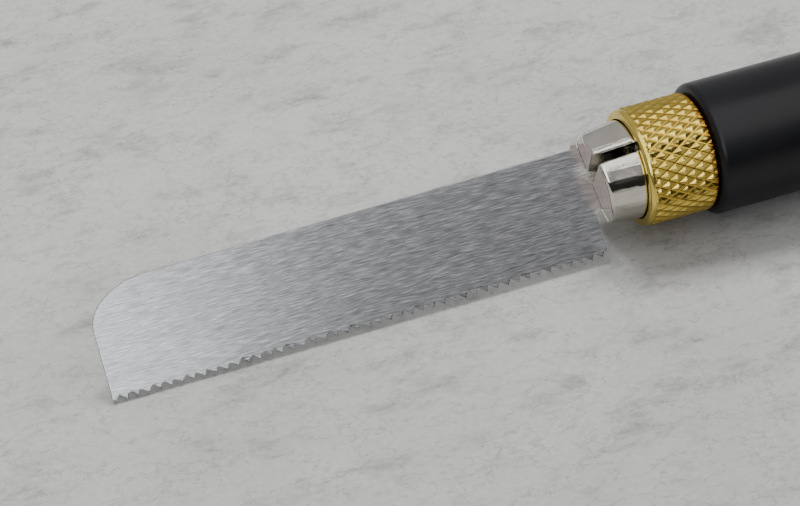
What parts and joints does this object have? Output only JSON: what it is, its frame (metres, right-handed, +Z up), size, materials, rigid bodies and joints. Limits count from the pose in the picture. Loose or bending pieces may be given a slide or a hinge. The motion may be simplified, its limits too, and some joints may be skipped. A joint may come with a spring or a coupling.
{
  "type": "hobby saw",
  "caption": "Small flat pull-saw blade clamped by a slit collet and a knurled brass collar at the front of a heavy round black handle.",
  "frame": {"origin": "on the table under the handle axis, halfway along the tool, at the middle of its bounding box's bottom", "axes": "+X along the handle axis from the blade tip to the butt, +Z up, +Y the side that the spine of the blade leans to"},
  "size_m": [0.2034, 0.019, 0.019],
  "materials": {
    "grip_black": "satin",
    "insert_brass": "machined",
    "plug_black": "satin",
    "collar_brass": "knurled",
    "collet_nickel": "plated",
    "blade_steel": "brushed"
  },
  "bodies": {
    "handle": {"grip": "grip_black", "threaded_insert": "insert_brass", "butt_plug": "plug_black"},
    "collar": {"collar": "collar_brass"},
    "collet": {"collet_shank": "collet_nickel"},
    "jaw_spine_near": {"jaw_spine_near": "collet_nickel"},
    "jaw_spine_far": {"jaw_spine_far": "collet_nickel"},
    "jaw_teeth_near": {"jaw_teeth_near": "collet_nickel"},
    "jaw_teeth_far": {"jaw_teeth_far": "collet_nickel"},
    "blade": {"blade": "blade_steel"}
  },
  "joints": [
    {"name": "collar_turn", "type": "hinge", "parent": "handle", "child": "collar", "pos_m": [-0.01232, 0, 0.0095], "axis": [-1, 0, 0], "range_deg": [0, 720]},
    {"name": "collet_advance", "type": "slide", "parent": "collar", "child": "collet", "axis": [-1, 0, 0], "range_m": [0, 0.002]},
    {"name": "jaw_spine_near_open", "type": "hinge", "parent": "collet", "child": "jaw_spine_near", "pos_m": [-0.00632, 0.00041, 0.01388], "axis": [0, 0.9955, -0.0943], "range_deg": [0, 1.15]},
    {"name": "jaw_spine_far_open", "type": "hinge", "parent": "collet", "child": "jaw_spine_far", "pos_m": [-0.00632, 0.00438, 0.00909], "axis": [0, -0.0943, -0.9955], "range_deg": [0, 1.15]},
    {"name": "jaw_teeth_near_open", "type": "hinge", "parent": "collet", "child": "jaw_teeth_near", "pos_m": [-0.00632, -0.00438, 0.00991], "axis": [0, 0.0943, 0.9955], "range_deg": [0, 1.15]},
    {"name": "jaw_teeth_far_open", "type": "hinge", "parent": "collet", "child": "jaw_teeth_far", "pos_m": [-0.00632, -0.00041, 0.00512], "axis": [0, -0.9955, 0.0943], "range_deg": [0, 1.15]},
    {"name": "blade_pull", "type": "slide", "parent": "collet", "child": "blade", "axis": [-0.9999, -0.0072, -0.0093], "range_m": [0, 0.022]}
  ],
  "couplings": [
    {"joint": "collar_turn", "follows": "collet_advance", "rad_per_m": 6283.2},
    {"joint": "jaw_spine_near_open", "follows": "collet_advance", "rad_per_m": 10.036},
    {"joint": "jaw_spine_far_open", "follows": "collet_advance", "rad_per_m": 10.036},
    {"joint": "jaw_teeth_near_open", "follows": "collet_advance", "rad_per_m": 10.036},
    {"joint": "jaw_teeth_far_open", "follows": "collet_advance", "rad_per_m": 10.036}
  ]
}
